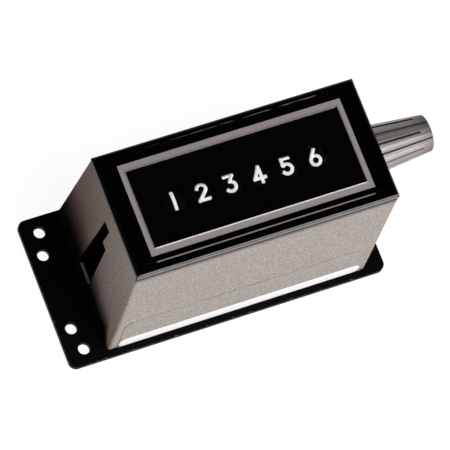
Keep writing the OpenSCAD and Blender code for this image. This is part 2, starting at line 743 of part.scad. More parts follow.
// Number wheel: rim, gear towards the lower wheel, carry disc towards the higher wheel
pawl_pocket_r = 5.6;
pawl_w = 1.2;
pawl_half_x = 0.9;
module number_wheel(i) color(black_paint) difference() {
    x = wheel_x(i);
    left = x - drum_w / 2;
    right = x + drum_w / 2;
    union() {
        rod_x(left, right, 0, wheel_axis_z, wheel_r);
        if (i == 0) rod_x(right, hub_end_x, 0, wheel_axis_z, hub_r);
        else slab_x(right, right + gear_t) translate([0, wheel_axis_z])
            gear_outline(gear_teeth, gear_addendum, gear_dedendum);
        if (i == wheel_count - 1) rod_x(-hub_end_x, left, 0, wheel_axis_z, hub_r);
        else slab_x(left - carry_disc_t, left) translate([0, wheel_axis_z]) {
            circle(r = carry_disc_r);
            for (a = [-1, 1] * carry_tooth_angle) rotate(a)
                translate([0, -carry_tooth_w / 2]) square([carry_tooth_r, carry_tooth_w]);
        }
    }
    rod_x(-frame_x, frame_x, 0, wheel_axis_z, bore_r);
    span([left - carry_disc_t - over, -pawl_w / 2, wheel_axis_z - pawl_pocket_r],
        [x + pawl_half_x, pawl_w / 2, wheel_axis_z]);
}
module units_wheel() number_wheel(0);
module tens_wheel() number_wheel(1);
module hundreds_wheel() number_wheel(2);
module thousands_wheel() number_wheel(3);
module ten_thousands_wheel() number_wheel(4);
module hundred_thousands_wheel() number_wheel(5);

// Pawl in a wheel's pocket, pointing at the reset shaft
pawl_tip_gap = 0.2;
pawl_tip_half = 0.15;
pawl_taper = 0.7;
module reset_pawl(i) color(brass) slab_x(wheel_x(i) - pawl_half_x, wheel_x(i) + pawl_half_x) {
    half = pawl_w / 2 - fixed_gap;
    tip_z = wheel_axis_z - shaft_r - pawl_tip_gap;
    polygon([[-half, wheel_axis_z - pawl_pocket_r], [half, wheel_axis_z - pawl_pocket_r],
        [half, tip_z - pawl_taper], [pawl_tip_half, tip_z], [-pawl_tip_half, tip_z],
        [-half, tip_z - pawl_taper]]);
}

// Star wheel on the hub of the units wheel
module star_wheel() color(brass) difference() {
    slab_x(star_x, star_x + star_t) translate([0, wheel_axis_z])
        polygon([for (i = [0:2 * star_points - 1])
            polar(i % 2 == 0 ? star_r : star_root_r, i * 180 / star_points)]);
    rod_x(star_x - over, star_x + star_t + over, 0, wheel_axis_z, hub_r + fixed_gap);
}

// Transfer pinion: every second tooth is cut back to the width of the higher wheel's gear
tooth_cut_w = 1.6;
tooth_cut_sink = 0.1;
module transfer_pinion(i) {
    x0 = wheel_x(i) + drum_w / 2 + pinion_side_gap;
    x1 = wheel_x(i - 1) - drum_w / 2 - pinion_side_gap;
    cut_r = pinion_teeth * tooth_module / 2 - pinion_dedendum - tooth_cut_sink;
    tooth_angle = 360 / pinion_teeth;
    color(white_nylon) difference() {
        slab_x(x0, x1) translate([pinion_axis_y, wheel_axis_z]) rotate(tooth_angle / 2)
            gear_outline(pinion_teeth, pinion_addendum, pinion_dedendum);
        slab_x(x0 + pinion_gear_t, x1 + over) translate([pinion_axis_y, wheel_axis_z])
            for (k = [1:2:pinion_teeth - 1]) rotate((k + 0.5) * tooth_angle)
                translate([cut_r, -tooth_cut_w / 2]) square([pinion_axis_y - cut_r, tooth_cut_w]);
        rod_x(x0 - over, x1 + over, pinion_axis_y, wheel_axis_z, pinion_shaft_r + running_gap);
    }
}

// Armature: a plate hinged behind the coil, with a tail for the spring and an arm for the verge
arm_y = 3;
armature_front_y = -8.5;
upright_top_z = 31.4;
rivet_r = 0.7;
rivet_head_r = 1.2;
rivet_head_t = 0.5;
rivet_places = [[-1.6, 28.8], [1.6, 28.8]];
module armature() color(steel) difference() {
    top = armature_z + armature_t;
    union() {
        span([-armature_x, armature_front_y, armature_z], [armature_x, hinge_y, top]);
        rod_x(-armature_x, armature_x, hinge_y, hinge_z, knuckle_r);
        span([-tail_half_x, hinge_y, armature_z], [tail_half_x, tail_y + tail_reach, top]);
        span([armature_x, -arm_y, armature_z], [star_x, arm_y, top]);
        span([upright_x, -arm_y, armature_z], [star_x, arm_y, upright_top_z]);
    }
    rod_x(-armature_x - over, armature_x + over, hinge_y, hinge_z, hinge_r + running_gap);
    translate([0, tail_y, armature_z - over]) cylinder(r = wire_hole_r, h = armature_t + 2 * over);
    for (at = rivet_places) rod_x(upright_x - over, star_x + over, at.x, at.y, rivet_r);
}

// Fork on the arm, whose two pallets reach round the star wheel
verge_outline = [[-3, 26.8], [3, 26.8], [3.4, 30], [10.2, 34.6], [10.2, 38.4], [-10.2, 38.4],
    [-10.2, 34.6], [-3.4, 30]];
module verge() color(steel) difference() {
    slab_x(star_x, star_x + star_t) polygon(verge_outline);
    rod_x(star_x - over, star_x + star_t + over, 0, wheel_axis_z, verge_bore_r);
    for (at = rivet_places) rod_x(star_x - over, star_x + star_t + over, at.x, at.y, rivet_r);
}
module verge_rivets() color(brass) for (at = rivet_places) {
    rod_x(upright_x, star_x + star_t, at.x, at.y, rivet_r - fixed_gap);
    rod_x(upright_x - rivet_head_t, upright_x, at.x, at.y, rivet_head_r);
    rod_x(star_x + star_t, star_x + star_t + rivet_head_t, at.x, at.y, rivet_head_r);
}

base_plate();
housing();
bezel();
trim_frame();
window_pane();
wheel_mask();
label_plate();
left_side_plate();
right_side_plate();
tie_rods();
left_bush();
right_bush();
pinion_shaft();
coil_bobbin();
coil_winding();
coil_wrap();
coil_core();
yoke();
yoke_screws();
armature_pin();
spring_anchor();
return_spring();
stop_rod();
stop_sleeve();
detent_post();
detent_spring();
terminal_board();
terminal_tabs();
coil_leads();
frame_screws();
cover_screws();
reset_shaft();
reset_knob();
knob_set_screw();
shaft_clip();
units_wheel();
tens_wheel();
hundreds_wheel();
thousands_wheel();
ten_thousands_wheel();
hundred_thousands_wheel();
star_wheel();
for (i = [1:wheel_count]) reset_pawl(i - 1);
for (i = [1:wheel_count - 1]) transfer_pinion(i);
armature();
verge();
verge_rivets();
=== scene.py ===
"""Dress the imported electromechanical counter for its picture.

There is one section for each piece or group of like pieces, in the order in which the counter is
put together, and then the floor, the light and the camera. Lengths are metres in the part's frame.
"""

import math

import bpy
from mathutils import Matrix, Vector


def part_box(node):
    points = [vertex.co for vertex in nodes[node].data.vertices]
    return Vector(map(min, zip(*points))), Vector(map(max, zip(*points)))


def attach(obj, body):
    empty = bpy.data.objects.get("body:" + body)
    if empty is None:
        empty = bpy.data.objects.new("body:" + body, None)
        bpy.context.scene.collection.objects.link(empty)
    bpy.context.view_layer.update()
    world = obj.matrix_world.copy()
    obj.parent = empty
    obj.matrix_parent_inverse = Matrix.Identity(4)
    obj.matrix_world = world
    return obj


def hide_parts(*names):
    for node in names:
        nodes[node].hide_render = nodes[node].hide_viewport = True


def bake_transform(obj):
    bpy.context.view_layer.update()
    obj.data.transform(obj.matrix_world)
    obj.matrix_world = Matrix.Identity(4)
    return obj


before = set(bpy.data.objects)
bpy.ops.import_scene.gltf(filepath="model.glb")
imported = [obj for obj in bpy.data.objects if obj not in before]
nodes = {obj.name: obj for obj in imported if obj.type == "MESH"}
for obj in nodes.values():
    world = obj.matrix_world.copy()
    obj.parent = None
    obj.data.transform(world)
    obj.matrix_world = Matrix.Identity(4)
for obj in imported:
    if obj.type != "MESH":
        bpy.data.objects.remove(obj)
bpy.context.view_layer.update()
MM = 0.001


# Base plate
# A flat steel pressing that carries the whole counter and is drilled for its fixing screws.
# It is stoved in black enamel, which has chipped a little along the stamped edge.


class Signal:
    """A socket's value on its way through a node tree; arithmetic on it adds Math nodes."""

    def __init__(self, net, socket):
        self.net = net
        self.socket = socket

    def math(self, operation, *numbers):
        return self.net.node("ShaderNodeMath", {"operation": operation}, dict(enumerate(numbers)))

    def __add__(self, other):
        return self.math("ADD", self, other)

    __radd__ = __add__

    def __sub__(self, other):
        return self.math("SUBTRACT", self, other)

    def __rsub__(self, other):
        return self.math("SUBTRACT", other, self)

    def __mul__(self, other):
        return self.math("MULTIPLY", self, other)

    __rmul__ = __mul__

    def __truediv__(self, other):
        return self.math("DIVIDE", self, other)

    def __rtruediv__(self, other):
        return self.math("DIVIDE", other, self)

    def __pow__(self, other):
        return self.math("POWER", self, other)

    def __abs__(self):
        return self.math("ABSOLUTE", self)

    def larger(self, other):
        return self.math("MAXIMUM", self, other)

    def smaller(self, other):
        return self.math("MINIMUM", self, other)

    def sine(self):
        return self.math("SINE", self)

    def cosine(self):
        return self.math("COSINE", self)


class Net:
    """A node tree being built: node() adds any node, its settings first and then its sockets."""

    def __init__(self, tree):
        self.tree = tree

    def feed(self, socket, value):
        if isinstance(value, Signal):
            self.tree.links.new(value.socket, socket)
        elif socket.type == "RGBA":
            socket.default_value = (*value[:3], 1.0)
        else:
            socket.default_value = value

    def node(self, kind, settings=None, inputs=None, output=0):
        made = self.tree.nodes.new(kind)
        for name, value in (settings or {}).items():
            setattr(made, name, value)
        for name, value in (inputs or {}).items():
            self.feed(made.inputs[name], value)
        return Signal(self, made.outputs[output])

    def split(self, vector):
        """The three numbers of a vector."""
        first = self.node("ShaderNodeSeparateXYZ", inputs={0: vector})
        return [Signal(self, socket) for socket in first.socket.node.outputs]

    def ramp(self, value, low, high):
        """0 at low, 1 at high and smooth between them."""
        limits = {"Value": value, "From Min": low, "From Max": high}
        return self.node("ShaderNodeMapRange", {"interpolation_type": "SMOOTHSTEP"}, limits)

    def mix(self, share, first, second):
        """A colour that goes from first to second as share goes from 0 to 1."""
        colours = {0: share, 6: first, 7: second}
        return self.node("ShaderNodeMix", {"data_type": "RGBA"}, colours, output=2)


class Finish(Net):
    """A material: a Principled surface with plain numbers, and nodes where it varies."""

    def __init__(self, name, **sockets):
        self.material = bpy.data.materials.new(name)
        self.material.use_nodes = True
        super().__init__(self.material.node_tree)
        self.shader = self.tree.nodes["Principled BSDF"]
        self.place = self.node("ShaderNodeTexCoord", output="Object")
        self.set(**sockets)

    def set(self, **sockets):
        """Set sockets by their names in lower case, as in base_color."""
        known = {socket.name.lower().replace(" ", "_"): socket for socket in self.shader.inputs}
        for name, value in sockets.items():
            self.feed(known[name], value)

    def grain(self, size, detail=2.0, stretch=(1, 1, 1), place=None):
        """Noise around a half, whose spots are about size across and longer along a stretched axis.

        It is turned askew, so that no flat face runs along the noise's own grid.
        """
        scale = [1 / (size * factor) for factor in stretch]
        askew = (0.6, 0.4, 0.2)
        spread = {"Vector": place or self.place, "Scale": scale, "Rotation": askew}
        where = self.node("ShaderNodeMapping", inputs=spread)
        noise = {"Vector": where, "Scale": 1.0, "Detail": detail}
        return self.node("ShaderNodeTexNoise", inputs=noise)

    def bump(self, height, depth, edge=0.0):
        """Raise the surface by height times depth, and round off sharp edges by the radius edge."""
        inputs = {"Height": height, "Distance": depth, "Strength": 1.0}
        if edge:
            inputs["Normal"] = self.node("ShaderNodeBevel", {"samples": 6}, {"Radius": edge})
        self.set(normal=self.node("ShaderNodeBump", inputs=inputs))

    def overlay(self, share, other):
        """Let another shader take the surface's place to a share."""
        own = Signal(self, self.shader.outputs[0])
        both = self.node("ShaderNodeMixShader", inputs={0: share, 1: own, 2: other})
        self.feed(self.tree.nodes["Material Output"].inputs["Surface"], both)


def dress(finish, *names):
    """Give CAD nodes a finish."""
    for name in names:
        nodes[name].data.materials.clear()
        nodes[name].data.materials.append(finish.material)


plate_low, plate_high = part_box("base_plate")
plate_middle = (plate_low + plate_high) / 2
plate_half = (plate_high - plate_low) / 2

black_enamel = Finish("black_enamel", specular_ior_level=0.04)
plate_x, plate_y, _ = black_enamel.split(black_enamel.place)
past_plate_x = abs(plate_x - plate_middle.x) - plate_half.x
past_plate_y = abs(plate_y - plate_middle.y) - plate_half.y
chip_w = 0.4 * MM
at_edge = black_enamel.ramp(past_plate_x.larger(past_plate_y), -chip_w, 0.0)
chips = at_edge * black_enamel.ramp(black_enamel.grain(1.1 * MM), 0.62, 0.68)
enamel_cloud = black_enamel.grain(6 * MM)
enamel_black = black_enamel.mix(enamel_cloud, (0.0004, 0.0004, 0.0004), (0.0012, 0.0012, 0.0012))
dust = black_enamel.ramp(black_enamel.grain(0.5 * MM), 0.74, 0.80)
black_enamel.set(
    base_color=black_enamel.mix(chips.larger(dust), enamel_black, (0.10, 0.095, 0.09)),
    roughness=0.42 + 0.16 * enamel_cloud,
)
black_enamel.bump(black_enamel.grain(0.7 * MM), 0.010 * MM, edge=0.1 * MM)
dress(black_enamel, "base_plate")


# Magnet iron
# The yoke, the core and the hinged armature close the magnetic path of the coil.
# They are soft iron, blanked, bent and plated with dull zinc.

soft_iron = Finish("zinc_plated_iron", metallic=1.0)
zinc_cloud = soft_iron.grain(1.6 * MM, detail=4.0)
soft_iron.set(
    base_color=soft_iron.mix(zinc_cloud, (0.36, 0.36, 0.37), (0.56, 0.56, 0.55)),
    roughness=0.30 + 0.25 * soft_iron.grain(0.5 * MM),
)
soft_iron.bump(soft_iron.grain(0.25 * MM), 0.01 * MM, edge=0.12 * MM)
dress(soft_iron, "coil_core", "yoke", "armature")


# Coil
# Fine enamelled copper wire wound in layers on a moulded nylon bobbin and bound with varnished
# cloth tape. The outer layer of turns is modelled as one wire from flange to flange.


class Shape(Net):
    """A geometry tree with named sizes that ends in one finish and is made into a plain mesh."""

    def __init__(self, name, *sizes):
        super().__init__(bpy.data.node_groups.new(name, "GeometryNodeTree"))
        sockets = self.tree.interface
        sockets.new_socket("Geometry", in_out="INPUT", socket_type="NodeSocketGeometry")
        sockets.new_socket("Geometry", in_out="OUTPUT", socket_type="NodeSocketGeometry")
        self.keys = {}
        for size in sizes:
            made = sockets.new_socket(size, in_out="INPUT", socket_type="NodeSocketFloat")
            self.keys[size] = made.identifier
        entry = self.tree.nodes.new("NodeGroupInput")
        self.given = {socket.name: Signal(self, socket) for socket in entry.outputs if socket.name}

    def close(self, geometry, finish):
        solid = self.node("GeometryNodeRealizeInstances", inputs={"Geometry": geometry})
        dressed = self.node(
            "GeometryNodeSetMaterial", inputs={"Geometry": solid, "Material": finish.material}
        )
        self.feed(self.tree.nodes.new("NodeGroupOutput").inputs[0], dressed)

    def make(self, name, base, **sizes):
        """The tree's result on a mesh, as an object of its own."""
        source = bpy.data.objects.new(name + "_source", base)
        bpy.context.scene.collection.objects.link(source)
        modifier = source.modifiers.new("shape", "NODES")
        modifier.node_group = self.tree
        for size, value in sizes.items():
            modifier[self.keys[size]] = value
        made = plain(name, source)
        bpy.data.objects.remove(source)
        return made


def plain(name, source):
    """An object's mesh with its modifiers worked in, as a new object at the origin."""
    graph = bpy.context.evaluated_depsgraph_get()
    mesh = bpy.data.meshes.new_from_object(source.evaluated_get(graph), depsgraph=graph)
    mesh.name = name
    made = bpy.data.objects.new(name, mesh)
    bpy.context.scene.collection.objects.link(made)
    return made


def lines(name, paths):
    """A mesh of edges along paths of points; a path that ends where it began is closed."""
    points, edges = [], []
    for path in paths:
        closed = (Vector(path[0]) - Vector(path[-1])).length < 1e-9
        count = len(path) - closed
        first = len(points)
        points += [tuple(point) for point in path[:count]]
        edges += [(first + k, first + k + 1) for k in range(count - 1)]
        if closed:
            edges.append((first + count - 1, first))
    mesh = bpy.data.meshes.new(name)
    mesh.from_pydata(points, edges, [])
    return mesh


def round_wire(name, finish):
    """A tree that gives every path of a mesh of edges a round section."""
    shape = Shape(name, "Radius")
    path = shape.node("GeometryNodeMeshToCurve", inputs={"Mesh": shape.given["Geometry"]})
    wire_sides = 10
    circle = {"Resolution": wire_sides, "Radius": shape.given["Radius"]}
    section = shape.node("GeometryNodeCurvePrimitiveCircle", inputs=circle)
    sweep = {"Curve": path, "Profile Curve": section, "Fill Caps": True}
    wire = shape.node("GeometryNodeCurveToMesh", inputs=sweep)
    shape.close(shape.node("GeometryNodeSetShadeSmooth", inputs={0: wire}), finish)
    return shape


copper = Finish("enamelled_copper", metallic=1.0, coat_weight=0.6)
copper_cloud = copper.grain(0.8 * MM)
copper.set(
    base_color=copper.mix(copper_cloud, (0.40, 0.14, 0.06), (0.62, 0.28, 0.13)),
    roughness=0.22 + 0.2 * copper_cloud,
)
copper.bump(copper.grain(0.15 * MM), 0.004 * MM)

coil_low, coil_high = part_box("coil_winding")
coil_middle = (coil_low + coil_high) / 2
coil_r = (coil_high.x - coil_low.x) / 2
wire_r = 0.16 * MM
turns = int((coil_high.z - coil_low.z) / (2 * wire_r)) - 1
steps_per_turn = 40


def wound(step):
    """Point of the outer layer, which climbs by one wire in each turn."""
    angle = step * math.tau / steps_per_turn
    reach = coil_r - wire_r
    height = coil_low.z + wire_r * (1 + 2 * step / steps_per_turn)
    return coil_middle.x + reach * math.cos(angle), coil_middle.y + reach * math.sin(angle), height


winding_path = lines("winding_path", [[wound(step) for step in range(turns * steps_per_turn)]])
winding = round_wire("wound_layer", copper).make("winding_layer", winding_path, Radius=wire_r)
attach(winding, "case")
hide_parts("coil_winding")

nylon = Finish("natural_nylon", ior=1.53, subsurface_weight=0.12, subsurface_scale=0.4 * MM)
nylon_cloud = nylon.grain(1.5 * MM)
nylon.set(
    base_color=nylon.mix(nylon_cloud, (0.72, 0.68, 0.57), (0.82, 0.79, 0.70)),
    roughness=0.34 + 0.2 * nylon.grain(0.4 * MM),
)
nylon.bump(nylon_cloud, 0.01 * MM, edge=0.08 * MM)
dress(nylon, "coil_bobbin", *[f"transfer_pinion_{k}" for k in range(1, 6)])

tape = Finish("varnished_tape", coat_weight=0.4)
tape_x, tape_y, tape_z = tape.split(tape.place)
weave_pitch = 0.35 * MM
weft = (tape_z * (math.tau / weave_pitch)).sine()
from_coil_axis = {0: tape_y - coil_middle.y, 1: tape_x}
round_the_coil = tape.node("ShaderNodeMath", {"operation": "ARCTAN2"}, from_coil_axis)
warp = (round_the_coil * (math.tau * coil_r / weave_pitch)).sine()
weave = 0.5 + 0.25 * weft * warp + 0.25 * weft
tape.set(
    base_color=tape.mix(weave, (0.38, 0.27, 0.09), (0.66, 0.52, 0.24)),
    roughness=0.30 + 0.25 * tape.grain(1.2 * MM),
)
tape.bump(weave, 0.02 * MM)
dress(tape, "coil_wrap")


# Pins, rods and screws
# The hinge pin, tie rods, stop rod, verge, shafts, clip and screws of the works.
# They are drawn or turned from free-cutting steel and left bright, with fine lathe marks.

steel = Finish("bright_steel", metallic=1.0)
lathe_marks = steel.grain(0.09 * MM, stretch=(1, 12, 12))
steel_cloud = steel.grain(1.4 * MM)
steel.set(
    base_color=steel.mix(steel_cloud, (0.46, 0.46, 0.47), (0.64, 0.64, 0.65)),
    roughness=0.20 + 0.22 * lathe_marks,
)
steel.bump(lathe_marks, 0.006 * MM, edge=0.06 * MM)
dress(
    steel, "tie_rods", "pinion_shaft", "yoke_screws", "armature_pin", "spring_anchor", "stop_rod",
    "detent_post", "detent_spring", "frame_screws", "cover_screws", "reset_shaft", "knob_set_screw",
    "shaft_clip", "verge",
)


# Brass works
# The shaft's bearing bushes, the star wheel, the reset pawls, the rivets and the soldering tabs.
# They are turned or blanked from brass that has dulled unevenly.

brass = Finish("dulled_brass", metallic=1.0)
tarnish = brass.ramp(brass.grain(1.8 * MM, detail=5.0), 0.35, 0.75)
brass.set(
    base_color=brass.mix(tarnish, (0.74, 0.54, 0.22), (0.38, 0.26, 0.11)),
    roughness=0.20 + 0.3 * tarnish,
)
brass.bump(brass.grain(0.12 * MM), 0.006 * MM, edge=0.06 * MM)
dress(
    brass, "left_bush", "right_bush", "terminal_tabs", "star_wheel", "verge_rivets",
    *[f"reset_pawl_{k}" for k in range(1, 7)],
)


# Stop sleeve
# A short length of black rubber tube on the stop rod, on which the armature comes to rest.
# It has bloomed slightly, as old rubber does.

rubber = Finish("stop_rubber", specular_ior_level=0.3)
bloom = rubber.grain(0.9 * MM, detail=4.0)
rubber.set(
    base_color=rubber.mix(bloom, (0.012, 0.012, 0.012), (0.045, 0.044, 0.042)),
    roughness=0.62 + 0.25 * bloom,
)
rubber.bump(rubber.grain(0.2 * MM), 0.02 * MM, edge=0.1 * MM)
dress(rubber, "stop_sleeve")


# Return spring
# A close helix of spring wire that pulls the armature off the pole. Its straight ends pass
# through the anchor and the armature's tail.

spring_low, spring_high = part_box("return_spring")
spring_y = (spring_low.y + spring_high.y) / 2
spring_wire_r = 0.25 * MM
spring_r = (spring_high.x - spring_low.x) / 2 - spring_wire_r
spring_turns = 9
spring_steps = 28
end_share = 0.07
flare_share = 0.06


def coiled(step):
    """Point of the spring, whose radius swells from its straight ends to the helix."""
    share = step / (spring_turns * spring_steps)
    swell = max(0.0, min(1.0, (min(share, 1 - share) - end_share) / flare_share))
    reach = spring_r * math.sin(math.pi / 2 * swell) ** 2
    angle = step * math.tau / spring_steps
    height = spring_low.z + (spring_high.z - spring_low.z) * share
    return reach * math.cos(angle), spring_y + reach * math.sin(angle), height


spring_steel = Finish("spring_wire", metallic=1.0)
wire_cloud = spring_steel.grain(0.6 * MM)
spring_steel.set(
    base_color=spring_steel.mix(wire_cloud, (0.34, 0.33, 0.32), (0.56, 0.55, 0.54)),
    roughness=0.22 + 0.15 * wire_cloud,
)
spring_steel.bump(spring_steel.grain(0.08 * MM), 0.003 * MM)
spring_points = [coiled(step) for step in range(spring_turns * spring_steps + 1)]
spring_path = lines("spring_path", [spring_points])
spring_form = round_wire("spring_form", spring_steel)
spring = spring_form.make("spring_helix", spring_path, Radius=spring_wire_r)
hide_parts("return_spring")
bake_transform(spring)


# Terminal board and leads
# A brown laminate board on the frame carries two soldering tabs, and insulated wires join them
# to the ends of the winding. The wires are soft and take an easy bend.

laminate = Finish("brown_laminate", specular_ior_level=0.4)
board_fibre = laminate.grain(0.25 * MM, detail=4.0, stretch=(1, 6, 1))
laminate.set(
    base_color=laminate.mix(board_fibre, (0.13, 0.055, 0.025), (0.30, 0.15, 0.075)),
    roughness=0.38 + 0.2 * board_fibre,
)
laminate.bump(board_fibre, 0.008 * MM, edge=0.1 * MM)
dress(laminate, "terminal_board")

insulation = Finish("red_insulation", specular_ior_level=0.45)
insulation_cloud = insulation.grain(0.5 * MM)
insulation.set(
    base_color=insulation.mix(insulation_cloud, (0.34, 0.03, 0.025), (0.48, 0.06, 0.045)),
    roughness=0.36 + 0.2 * insulation_cloud,
)
insulation.bump(insulation_cloud, 0.012 * MM)
lead_r = 0.4 * MM
lead_steps = 24
lead_start = Vector((-8.57, 0.0, 20.2)) * MM
lead_end = Vector((-22.9, 0.0, 17.0)) * MM
lead_peak_z = 27.2 * MM
lead_start_side = 0.8 * MM
lead_end_side = 4.5 * MM


def lead(side):
    """Path of one lead, an arch from the winding to its tab."""
    start = lead_start + Vector((0, coil_middle.y + side * lead_start_side, 0))
    end = lead_end + Vector((0, side * lead_end_side, 0))
    peak = Vector(((start.x + end.x) / 2, (start.y + end.y) / 2, lead_peak_z))
    shares = [step / lead_steps for step in range(lead_steps + 1)]
    return [(1 - t) ** 2 * start + 2 * t * (1 - t) * peak + t**2 * end for t in shares]


lead_paths = lines("lead_paths", [lead(-1), lead(1)])
leads = round_wire("lead_form", insulation).make("lead_wires", lead_paths, Radius=lead_r)
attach(leads, "case")
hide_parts("coil_leads")


# Frame plates
# Two steel side plates with turned-out feet hold the wheels, the rods and the terminal board.
# They are chemically blackened, with a dull, slightly cloudy film, and their near-black is also
# painted shade for the inside seen through the left end's slot.

dark_plate_finish = Finish("blackened_steel", metallic=0.4, specular_ior_level=0.25)
film = dark_plate_finish.grain(2.2 * MM, detail=4.0)
dark_plate_finish.set(
    base_color=dark_plate_finish.mix(film, (0.010, 0.010, 0.011), (0.028, 0.027, 0.026)),
    roughness=0.50 + 0.2 * film,
)
dark_plate_finish.bump(dark_plate_finish.grain(0.2 * MM), 0.008 * MM, edge=0.1 * MM)
dress(dark_plate_finish, "left_side_plate", "right_side_plate")


# Number wheels
# Six moulded black wheels turn on the reset shaft. Each carries the figures 0 to 9 round its rim,
# printed in white in square-cut strokes, and together they show a six-figure number in the window.

moulded_black = Finish("moulded_black", specular_ior_level=0.02)
moulding_flow = moulded_black.grain(1.2 * MM)
deep_black, soft_black = (0.0004, 0.0004, 0.0004), (0.0010, 0.0010, 0.0010)
moulded_black.set(
    base_color=moulded_black.mix(moulding_flow, deep_black, soft_black),
    roughness=0.55 + 0.2 * moulding_flow,
)
moulded_black.bump(moulded_black.grain(0.15 * MM), 0.006 * MM, edge=0.08 * MM)
wheel_names = ["units", "tens", "hundreds", "thousands", "ten_thousands", "hundred_thousands"]
dress(moulded_black, *[f"{name}_wheel" for name in wheel_names])

figure_white = Finish("figure_white", specular_ior_level=0.3)
ink_cloud = figure_white.grain(0.5 * MM, detail=3.0)
figure_white.set(
    base_color=figure_white.mix(ink_cloud, (0.90, 0.885, 0.865), (0.97, 0.955, 0.940)),
    roughness=0.55 + 0.2 * ink_cloud,
)
figure_white.bump(ink_cloud, 0.01 * MM)

figure_height = 4.8 * MM
pen_w = 0.86 * MM
figure_shift = -0.28 * MM
ink_t = 0.03 * MM
arc_steps = 20
stroke_cuts = 8


def arc(x, y, r_x, r_y, start, end):
    """Points of an ellipse's arc between two angles in degrees."""
    angles = [math.radians(start + (end - start) * k / arc_steps) for k in range(arc_steps + 1)]
    return [(x + r_x * math.cos(angle), y + r_y * math.sin(angle)) for angle in angles]


def turned(strokes):
    """The same strokes upside down."""
    return [[(-x, -y) for x, y in stroke] for stroke in strokes]


# Pen strokes of the figures in a box that is 1 high, about its middle
six = [[(0.10, 0.5), (-0.15, 0.13), (-0.2, 0.045)], arc(0, -0.2, 0.3, 0.3, 0, 360)]
figures = [
    [arc(0, 0, 0.31, 0.5, 0, 360)],
    [[(0, 0.5), (0, -0.5)]],
    [arc(0, 0.22, 0.28, 0.28, 165, -38) + [(-0.3, -0.5), (0.31, -0.5)]],
    [[(-0.26, 0.5), (0.24, 0.5), (-0.02, 0.11)] + arc(-0.03, -0.2, 0.31, 0.3, 82, -140)],
    [[(0.12, -0.5), (0.12, 0.5), (-0.32, -0.24), (0.34, -0.24)]],
    [[(0.24, 0.5), (-0.2, 0.5), (-0.25, 0.03)] + arc(-0.03, -0.19, 0.31, 0.31, 130, -145)],
    six,
    [[(-0.29, 0.5), (0.3, 0.5), (-0.1, -0.5)]],
    [arc(0, 0.26, 0.24, 0.24, 0, 360), arc(0, -0.22, 0.29, 0.28, 0, 360)],
    turned(six),
]

wheel_low, wheel_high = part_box("units_wheel")
wheel_r = (wheel_high.z - wheel_low.z) / 2
wheel_axis_z = (wheel_low.z + wheel_high.z) / 2
figure_step = math.tau / len(figures)
pen_box = figure_height - pen_w
half_pen = pen_w / 2 / pen_box
sharp_turn = math.radians(35)


def run_on(tip, inner, beside):
    """The end of a stroke, moved on so that its square cut covers the corner and stays flush."""
    along = (tip - inner).normalized()
    reach = half_pen
    if beside and along.x and along.y:
        lean = along.angle(tip - beside)
        reach *= abs(math.tan(min(lean, math.pi - lean) / 2))
    return tip + along * reach


def square_cut(stroke):
    """The parts of a stroke between its sharp corners; a closed loop stays whole."""
    points = [Vector(point) for point in stroke]
    if (points[0] - points[-1]).length < half_pen / 10:
        return [points]
    last = len(points) - 1
    bends = [(points[k] - points[k - 1]).angle(points[k + 1] - points[k]) for k in range(1, last)]
    corners = [k for k, bend in enumerate(bends, start=1) if bend > sharp_turn]
    parts = []
    for first, end in zip([0] + corners, corners + [last]):
        before = points[first - 1] if first else None
        after = points[end + 1] if end < last else None
        head = run_on(points[first], points[first + 1], before)
        tail = run_on(points[end], points[end - 1], after)
        parts.append([head, *points[first + 1 : end], tail])
    return parts


strip = [
    [(figure_shift + x * pen_box, y * pen_box + value * figure_step * wheel_r, 0) for x, y in part]
    for value, strokes in enumerate(figures)
    for stroke in strokes
    for part in square_cut(stroke)
]

# The strip of figures is drawn flat, and the tree thickens its strokes and winds it round the rim
band = Shape("figure_band", "Pen", "Ink", "Rim", "Turn", "Wheel X", "Axis Z")
drawn = band.node("GeometryNodeMeshToCurve", inputs={"Mesh": band.given["Geometry"]})
finer = {"Curve": drawn, "Cuts": stroke_cuts}
fine_strokes = band.node("GeometryNodeSubdivideCurve", inputs=finer)
level = band.node("GeometryNodeSetCurveNormal", {"mode": "Z_UP"}, {"Curve": fine_strokes})
nib = band.node(
    "GeometryNodeCurvePrimitiveQuadrilateral",
    inputs={"Width": band.given["Pen"], "Height": band.given["Ink"]},
)
ribbons = band.node(
    "GeometryNodeCurveToMesh", inputs={"Curve": level, "Profile Curve": nib, "Fill Caps": True}
)
flat_x, flat_y, flat_z = band.split(band.node("GeometryNodeInputPosition"))
round_rim = flat_y / band.given["Rim"] + band.given["Turn"]
from_axis = band.given["Rim"] + flat_z
on_rim = band.node(
    "ShaderNodeCombineXYZ",
    inputs={
        "X": flat_x + band.given["Wheel X"],
        "Y": from_axis * round_rim.sine(),
        "Z": from_axis * round_rim.cosine() + band.given["Axis Z"],
    },
)
wound_band = band.node(
    "GeometryNodeSetPosition", inputs={"Geometry": ribbons, "Position": on_rim}
)
band.close(wound_band, figure_white)

shown = dict(zip(wheel_names, (6, 5, 4, 3, 2, 1)))
strip_mesh = lines("figure_strip", strip)
for place, name in enumerate(wheel_names, start=1):
    pawl_low, pawl_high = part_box(f"reset_pawl_{place}")
    sizes = {
        "Pen": pen_w,
        "Ink": ink_t,
        "Rim": wheel_r,
        "Turn": -shown[name] * figure_step,
        "Wheel X": (pawl_low.x + pawl_high.x) / 2,
        "Axis Z": wheel_axis_z,
    }
    printed = band.make(f"{name}_figures", strip_mesh.copy(), **sizes)
    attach(printed, name)
